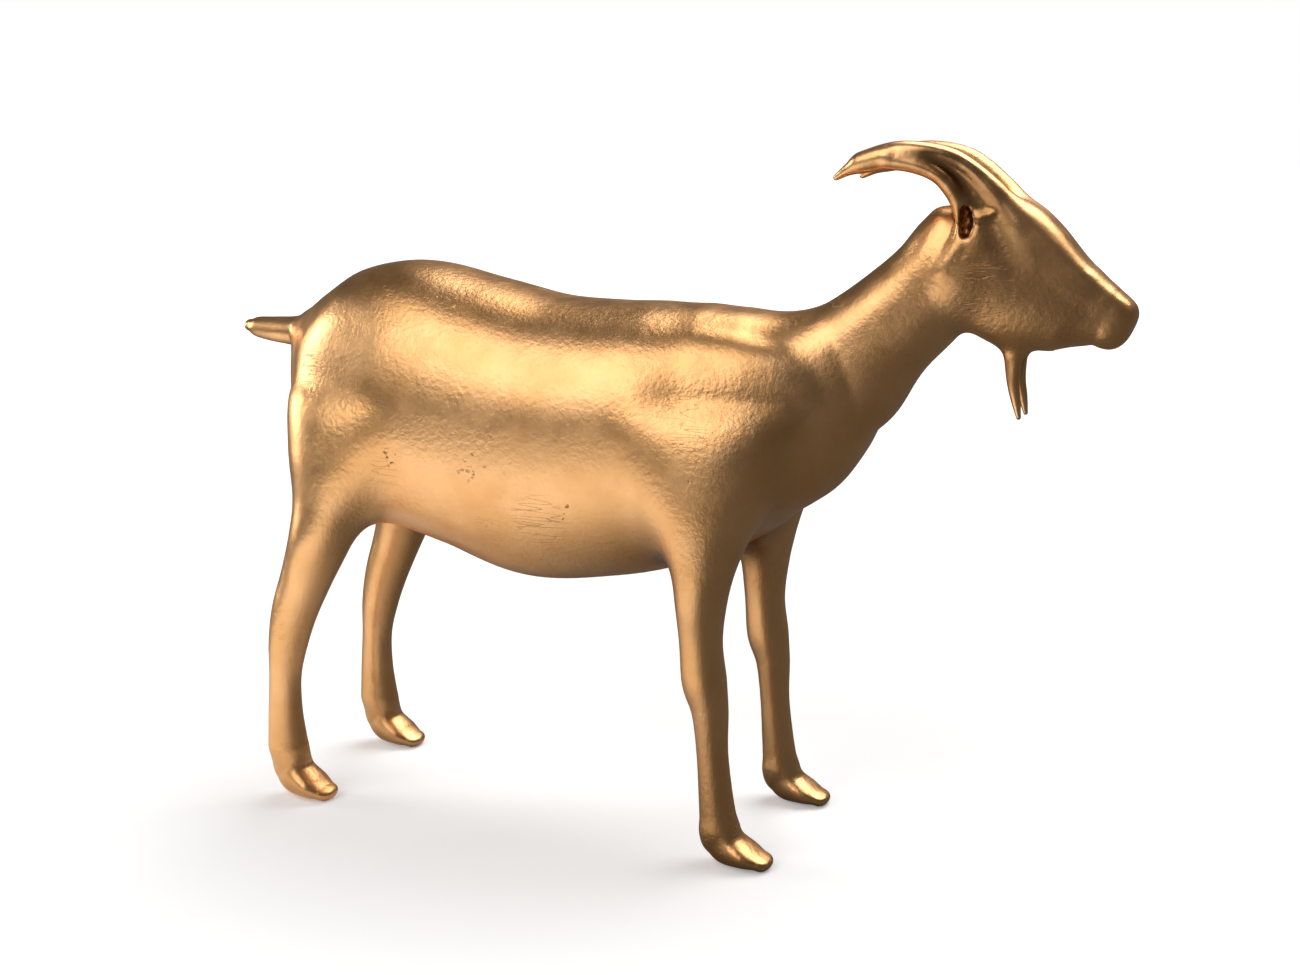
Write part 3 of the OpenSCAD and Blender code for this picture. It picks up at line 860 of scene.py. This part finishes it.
# %% Every joint of the goat
DROP, KEEP = False, True     # what happens to the part past the plane
FORE_TOP, HIND_TOP = 62, -70
NECK_JOINT = joint(98, 150, 40)
HEAD_JOINT = joint(130, 178, 13)
BEARD_JOINT = joint(143, 152.05, -90, room((134, -14, 90), (156, 14, 160)))
TAIL_JOINT = joint(-87.8, 149, 180, room((-200, -30, 142.5), (0, 30, 170)))


def side_room(side, near, far, low, high):
    """A box from near to far on one side of the middle plane. low and high
    give its x and z."""
    y0, y1 = sorted((side * near, side * far))
    return room((low[0], y0, low[1]), (high[0], y1, high[1]))


HORN_JOINT = {side: joint(131.45, 199, 141.8, side_room(side, 0.2, 40, (80, 180), (160, 230)))
              for side in (1, -1)}
LEG_JOINT = {(x, side): joint(x, LEG_JOINT_Z, -90,
                              side_room(side, 11, 47, (x - 25, -5), (x + 25, LEG_JOINT_Z + 5)))
             for x in (FORE_TOP, HIND_TOP) for side in (1, -1)}
print("joints:", 4 + len(HORN_JOINT) + len(LEG_JOINT))

# %% [markdown]
# ## Trunk
#
# The largest casting: the barrel, the shoulders and thighs down to the leg
# joints, and the root of the neck. One cut for each joint leaves it.

# %% Trunk
trunk_cuts = [(*NECK_JOINT, DROP), (*TAIL_JOINT, DROP)]
trunk_cuts += [(*leg, DROP) for leg in LEG_JOINT.values()]
SKIN = []
SKIN.append(casting("trunk_skin", (-97, -41, 70), (118, 41, 178), 1.0, trunk_cuts, "trunk_shell"))

# %% [markdown]
# ## Neck and tail
#
# The neck is a tube between two slanting joints, and the tail is a short solid
# pin. Both keep the part past one plane. The neck's block is finer than the
# trunk's, because it meets the fine head.

# %% Neck and tail
SKIN.append(casting("neck_skin", (80, -22, 115), (145, 22, 205), 0.7,
                    [(*NECK_JOINT, KEEP), (*HEAD_JOINT, DROP)], "neck_shell"))
SKIN.append(casting("tail_skin", (-116, -20, 130), (-80, 20, 170), 0.5,
                    [(*TAIL_JOINT, KEEP)], "tail"))

# %% [markdown]
# ## Head, horns and beard
#
# The horns are long and thin, and a founder casts them apart and pegs them on,
# because metal that has to run down a thin mould may freeze before it gets to
# the tip. The beard is the same on a smaller scale. They get the finest nets.

# %% Head, horns and beard
head_cuts = [(*HEAD_JOINT, KEEP), (*BEARD_JOINT, DROP)]
head_cuts += [(*HORN_JOINT[side], DROP) for side in (1, -1)]
SKIN.append(casting("head_skin", (120, -20, 145), (182, 20, 216), 0.45, head_cuts, "head_shell"))
for side, word in ((1, "left"), (-1, "right")):
    low, high = sorted((side * -2.0, side * 24.0))
    SKIN.append(casting(f"horn_{word}_skin", (90, low, 185), (145, high, 216), 0.4,
                        [(*HORN_JOINT[side], KEEP)], f"horn_{word}"))
SKIN.append(casting("beard_skin", (134, -12, 130), (156, 12, 160), 0.3,
                    [(*BEARD_JOINT, KEEP)], "beard"))

# %% [markdown]
# ## Legs
#
# Each leg is solid below its joint, and its sole lies flat on the floor.

# %% Legs
for (x, side), leg in LEG_JOINT.items():
    end, word = ("fore" if x == FORE_TOP else "hind"), ("left" if side == 1 else "right")
    low, high = leg[2][0] - (MIDDLE_X, 0, 0), leg[2][1] - (MIDDLE_X, 0, 0)
    name = f"{end}_leg_{word}"
    SKIN.append(casting(f"{name}_skin", low, high, 0.6, [(*leg, KEEP)], name))
print("castings:", len(SKIN))

# %% [markdown]
# ## The bronze
#
# Bronze fresh from the chaser's bench is a warm metal with a soft shine. Four
# things keep it from looking like plastic, and each gets its own pattern here.
# The skin keeps the fine orange-peel grain of the mould. Gas in the melt leaves
# small clusters of pits. Files and polishing sticks leave scratches, long ones
# down the legs and stray ones on the flanks. And wax and oxide stay dark in the
# hollows while hands keep the edges bright.
#
# All patterns are measured in space, in metres on the object's own axes, so
# they run on from casting to casting and never stretch.


# %% Building blocks for the patterns
def noise(add, link, vector, scale, detail=2.0, roughness=0.5):
    """A soft random value between 0 and 1 that changes over 1 / scale metres."""
    node = add("ShaderNodeTexNoise", Scale=scale, Detail=detail, Roughness=roughness)
    link(vector, node.inputs["Vector"])
    return node.outputs["Fac"]


def combine(add, link, operation, a, b):
    """One sum on two values, either of which may be a plain number."""
    node = add("ShaderNodeMath", operation=operation)
    for socket, value in zip(node.inputs, (a, b)):
        if isinstance(value, (int, float)):
            socket.default_value = value
        else:
            link(value, socket)
    return node.outputs[0]


def tint(add, link, amount, a, b):
    """Colour a where amount is 0 and colour b where it is 1."""
    node = add("ShaderNodeMix", data_type="RGBA")
    link(amount, node.inputs["Factor"])
    for name, value in (("A", a), ("B", b)):
        if isinstance(value, tuple):
            node.inputs[name].default_value = (*value, 1)
        else:
            link(value, node.inputs[name])
    return node.outputs["Result"]


def stretched(add, link, vector, turn, stretch):
    """The same place, turned, with each axis scaled by stretch."""
    node = add("ShaderNodeMapping")
    node.inputs["Rotation"].default_value = tuple(math.radians(a) for a in turn)
    node.inputs["Scale"].default_value = stretch
    link(vector, node.inputs["Vector"])
    return node.outputs["Vector"]


# %% Bronze of the skin
bronze, shader, add, link = new_material("waxed_bronze")
shader.inputs["Metallic"].default_value = 1.0
place = add("ShaderNodeTexCoord").outputs["Object"]
split = add("ShaderNodeSeparateXYZ")
link(place, split.inputs[0])
height = split.outputs["Z"]
hollow = add("ShaderNodeAttribute", attribute_name="hollow").outputs["Fac"]
edge = add("ShaderNodeAttribute", attribute_name="edge").outputs["Fac"]

cloud = noise(add, link, place, 38, 4, 0.6)
smoke = noise(add, link, place, 140, 5, 0.65)
grain = noise(add, link, place, 640, 2.5, 0.55)
dust = noise(add, link, place, 2600, 3, 0.6)


def spots(add, link, vector, places):
    """1 near any of the places, 0 away from them. A place is x, y, z and a
    reach, in millimetres from the floor under the middle of the stance."""
    total = None
    for x, y, z, reach in places:
        away = add("ShaderNodeVectorMath", operation="DISTANCE")
        away.inputs[1].default_value = ((x + MIDDLE_X) * MM, y * MM, z * MM)
        link(vector, away.inputs[0])
        near = window(add, link, away.outputs["Value"], 0.4 * reach * MM, reach * MM, 1, 0)
        total = near if total is None else combine(add, link, "MAXIMUM", total, near)
    return total


# %% [markdown]
# Gas that the metal gives off as it sets leaves pits. They are small, dark,
# ragged at the edge and never alone, so round cells are bent by a noise and
# kept only inside a few clusters.

# %% Pits
cells = add("ShaderNodeTexVoronoi", Scale=560)
wobble = add("ShaderNodeVectorMath", operation="MULTIPLY_ADD")
ripple = add("ShaderNodeTexNoise", Scale=300)
link(place, ripple.inputs["Vector"])
link(ripple.outputs["Color"], wobble.inputs[0])
wobble.inputs[1].default_value = (0.003, 0.003, 0.003)
link(place, wobble.inputs[2])
link(wobble.outputs[0], cells.inputs["Vector"])
holes = window(add, link, cells.outputs["Distance"], 0.18, 0.36, 1, 0)
patch = window(add, link, noise(add, link, place, 34, 3, 0.6), 0.66, 0.72)
gas = spots(add, link, place, [(-8, -34, 116, 6), (-38, -33, 115, 4), (50, -31, 118, 4),
                               (61, -33, 113, 5), (22, -31, 103, 5), (101, 14, 150, 6),
                               (10, 34, 112, 5), (-48, 33, 132, 5)])
broken = window(add, link, noise(add, link, place, 420, 2, 0.5), 0.42, 0.56)
patch = combine(add, link, "MAXIMUM", combine(add, link, "MULTIPLY", patch, 0.6),
                combine(add, link, "MULTIPLY", gas, broken))
pits = combine(add, link, "MULTIPLY", holes, patch)

# %% [markdown]
# Scratches come from handling and from the chaser's last strokes. A noise that
# is stretched a lot in one direction, looked at only where it is near one half,
# gives long thin lines that run roughly alongside each other and end by
# themselves.


# %% Scratches
def scratches(turn, stretch, width, kept):
    """Lines where a long, stretched noise is near one half, kept in places."""
    lines = noise(add, link, stretched(add, link, place, turn, stretch), 1, 0, 0.4)
    off = combine(add, link, "ABSOLUTE", combine(add, link, "SUBTRACT", lines, 0.5), 0)
    thin = window(add, link, off, width * 0.4, width, 1, 0)
    return combine(add, link, "MULTIPLY", thin, kept)


belly = spots(add, link, place, [(12, -31, 99, 11), (60, -33, 126, 7), (-70, -24, 140, 8),
                                 (20, 33, 120, 16), (-74, -26, 108, 8)])
cheek = spots(add, link, place, [(138, -14, 169, 10), (140, 14, 172, 9)])
stray = window(add, link, noise(add, link, place, 40, 2, 0.5), 0.62, 0.68)
scores = combine(add, link, "MAXIMUM", scratches((0, -34, 0), (70, 300, 900), 0.022, belly),
                 scratches((0, 8, 0), (60, 300, 1100), 0.03, cheek))
faint = scratches((10, 62, 15), (90, 500, 800), 0.014, stray)
scores = combine(add, link, "MAXIMUM", scores, combine(add, link, "MULTIPLY", faint, 0.6))

# %% File marks
# The marks run round and down the legs and fade out above them.
fine = noise(add, link, stretched(add, link, place, (0, 38, 0), (1700, 900, 160)), 1, 2, 0.5)
legs_only = window(add, link, height, 0.085, 0.11, 1, 0.15)
filed = combine(add, link, "MULTIPLY", fine, legs_only)

# %% [markdown]
# Three colours make the bronze: a light and a warm one that drift into each other as the alloy and
# the wax do, and the brown of old wax and oxide. The brown settles in the hollows that the probes
# found. The same brown is also laid in the flutes, under the ears and on the cheeks as painted
# shade, to make the goat darker there. The edges are rubbed bright.

# %% Colour of the bronze
METAL_LIGHT = (0.90, 0.50, 0.22)
METAL_WARM = (0.80, 0.42, 0.165)
PATINA_AND_PAINTED_SHADE = (0.30, 0.145, 0.055)
PIT_BROWN = (0.20, 0.10, 0.045)
RUBBED = (0.97, 0.60, 0.30)
metal = tint(add, link, window(add, link, cloud, 0.35, 0.65), METAL_LIGHT, METAL_WARM)
worn = combine(add, link, "MULTIPLY", window(add, link, edge, 0.05, 0.6), 0.5)
metal = tint(add, link, worn, metal, RUBBED)
patina_and_painted_shade = combine(add, link, "MULTIPLY", window(add, link, hollow, 0.05, 0.55),
               window(add, link, smoke, 0.2, 0.6, 0.55, 1))


def both_sides(places):
    """The same places on the goat's left and right."""
    return [(x, side * y, z, reach) for side in (1, -1) for x, y, z, reach in places]


# Painted shade: listed places in the flutes, under the ears and on the cheeks where the patina
# brown is laid to darken the goat, over and above the patina in the hollows.
FLUTE_PAINTED_SHADE = [(122, 16, 205, 5), (127, 15, 203, 6), (132, 12.5, 198.5, 7),
               (136.5, 12, 193, 8), (133, 12.5, 187, 6)]
CHEEK_PAINTED_SHADE = [(138, 13, 182, 15), (146, 12, 174, 15), (135, 13, 170, 12), (158, 9, 166, 13)]
painted_shade_in_flutes = spots(add, link, place, both_sides(FLUTE_PAINTED_SHADE))
painted_shade_on_cheeks = spots(add, link, place, both_sides(CHEEK_PAINTED_SHADE))
painted_shade = combine(add, link, "MAXIMUM", combine(add, link, "MULTIPLY", painted_shade_in_flutes, 0.85),
                  combine(add, link, "MULTIPLY", painted_shade_on_cheeks, 0.5))
painted_shade = combine(add, link, "MULTIPLY", painted_shade, window(add, link, smoke, 0.2, 0.6, 0.7, 1))
# The patina of the hollows and the painted shade join here into one amount of brown.
patina_and_painted_shade = combine(add, link, "MAXIMUM", patina_and_painted_shade, painted_shade)
metal = tint(add, link, patina_and_painted_shade, metal, PATINA_AND_PAINTED_SHADE)
marks = combine(add, link, "MAXIMUM", combine(add, link, "MULTIPLY", pits, 0.75),
                combine(add, link, "MULTIPLY", scores, 0.3))
metal = tint(add, link, marks, metal, PIT_BROWN)
link(metal, shader.inputs["Base Color"])

# %% [markdown]
# The wax is not even, so the shine isn't either: duller where it is smoky and
# in the marks, sharper on the rubbed edges.

# %% Shine of the bronze
shine = window(add, link, smoke, 0.25, 0.75, 0.27, 0.36)
shine = combine(add, link, "ADD", shine, combine(add, link, "MULTIPLY", dust, 0.04))
shine = combine(add, link, "ADD", shine, combine(add, link, "MULTIPLY", marks, 0.3))
shine = combine(add, link, "SUBTRACT", shine, combine(add, link, "MULTIPLY", worn, 0.12))
link(shine, shader.inputs["Roughness"])

# %% [markdown]
# Last comes the relief, all in one height: the grain of the mould, fading out
# where the chaser worked most, a finer dust over it, the file marks, and the
# pits and scratches cut into them.

# %% Relief of the bronze
peel = window(add, link, noise(add, link, place, 24, 2, 0.5), 0.35, 0.6, 0.35, 1)
smooth_edge = window(add, link, edge, 0.1, 0.6, 1, 0.3)
relief = combine(add, link, "MULTIPLY", combine(add, link, "MULTIPLY", grain, peel), smooth_edge)
relief = combine(add, link, "ADD", relief, combine(add, link, "MULTIPLY", dust, 0.12))
relief = combine(add, link, "ADD", relief, combine(add, link, "MULTIPLY", filed, 0.35))
relief = combine(add, link, "SUBTRACT", relief, combine(add, link, "MULTIPLY", pits, 1.6))
relief = combine(add, link, "SUBTRACT", relief, combine(add, link, "MULTIPLY", scores, 0.8))
bump = add("ShaderNodeBump", Strength=0.55, Distance=0.00026)
link(relief, bump.inputs["Height"])
link(bump.outputs["Normal"], shader.inputs["Normal"])
for piece in SKIN:
    piece.data.materials.append(bronze)
print("bronze has", len(bronze.node_tree.nodes), "nodes")

# %% [markdown]
# ## Inside the joints
#
# Eight pieces of the frame are hidden once the goat is together: two sleeves,
# the pins through them and through the spigots, and the plugs in the wall. A
# chaser never polishes these. The sleeves keep the skin of the mould, the pins
# are cut from drawn rod with its lines along the length, and the plugs show the
# file that took them down. Their shapes are the frame's own and stay as they
# are, so only their material changes. One recipe serves all three, because they
# differ only in which way the marks run and how bright the metal is.


# %% Bronze with tool marks
def tool_marked(name, metal, dark, turn, stretch, gloss):
    """A stretched noise is both a streak of the dark colour and a low ridge,
    and a slower noise stains it and makes the shine uneven."""
    material, shader, add, link = new_material(name)
    shader.inputs["Metallic"].default_value = 1.0
    place = add("ShaderNodeTexCoord").outputs["Object"]
    marks = noise(add, link, stretched(add, link, place, turn, stretch), 1, 3, 0.6)
    stain = noise(add, link, place, 90, 4, 0.6)
    streaks = combine(add, link, "MULTIPLY", window(add, link, marks, 0.42, 0.7),
                      window(add, link, stain, 0.3, 0.6, 0.3, 1))
    link(tint(add, link, streaks, metal, dark), shader.inputs["Base Color"])
    link(window(add, link, stain, 0.3, 0.7, gloss, gloss + 0.15), shader.inputs["Roughness"])
    bump = add("ShaderNodeBump", Strength=0.5, Distance=0.0002)
    link(marks, bump.inputs["Height"])
    link(bump.outputs["Normal"], shader.inputs["Normal"])
    return material


sleeve_bronze = tool_marked("as_cast_bronze", (0.58, 0.34, 0.15), (0.20, 0.11, 0.05),
                            (0, 0, 0), (420, 420, 420), 0.42)
pin_bronze = tool_marked("drawn_bronze_rod", (0.86, 0.56, 0.26), (0.45, 0.26, 0.11),
                         (0, 0, 0), (1600, 120, 1600), 0.26)
plug_bronze = tool_marked("filed_bronze", (0.80, 0.48, 0.21), (0.38, 0.20, 0.08),
                          (0, 24, 0), (180, 900, 1700), 0.32)


# %% The frame's own pieces
def finish_node(node, material):
    """Puts a material on every slot of a piece of the frame."""
    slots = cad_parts[node].material_slots
    for slot in slots:
        slot.material = material
    print(f"{node}: {material.name} on {len(slots)} slot(s)")


for node in ("neck_sleeve", "head_sleeve"):
    finish_node(node, sleeve_bronze)
for node in ("neck_pins", "head_pins", "leg_pins", "tail_pin"):
    finish_node(node, pin_bronze)
for node in ("chaplet_plugs", "core_plug"):
    finish_node(node, plug_bronze)

# %% [markdown]
# ## Finish
#
# The box of everything that is shown is printed, in millimetres. The skin may
# stand a hair outside the frame, not more.

# %% Finish
low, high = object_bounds()
print("visual box in mm:", np.round(np.array([low, high]) / MM, 1).tolist())
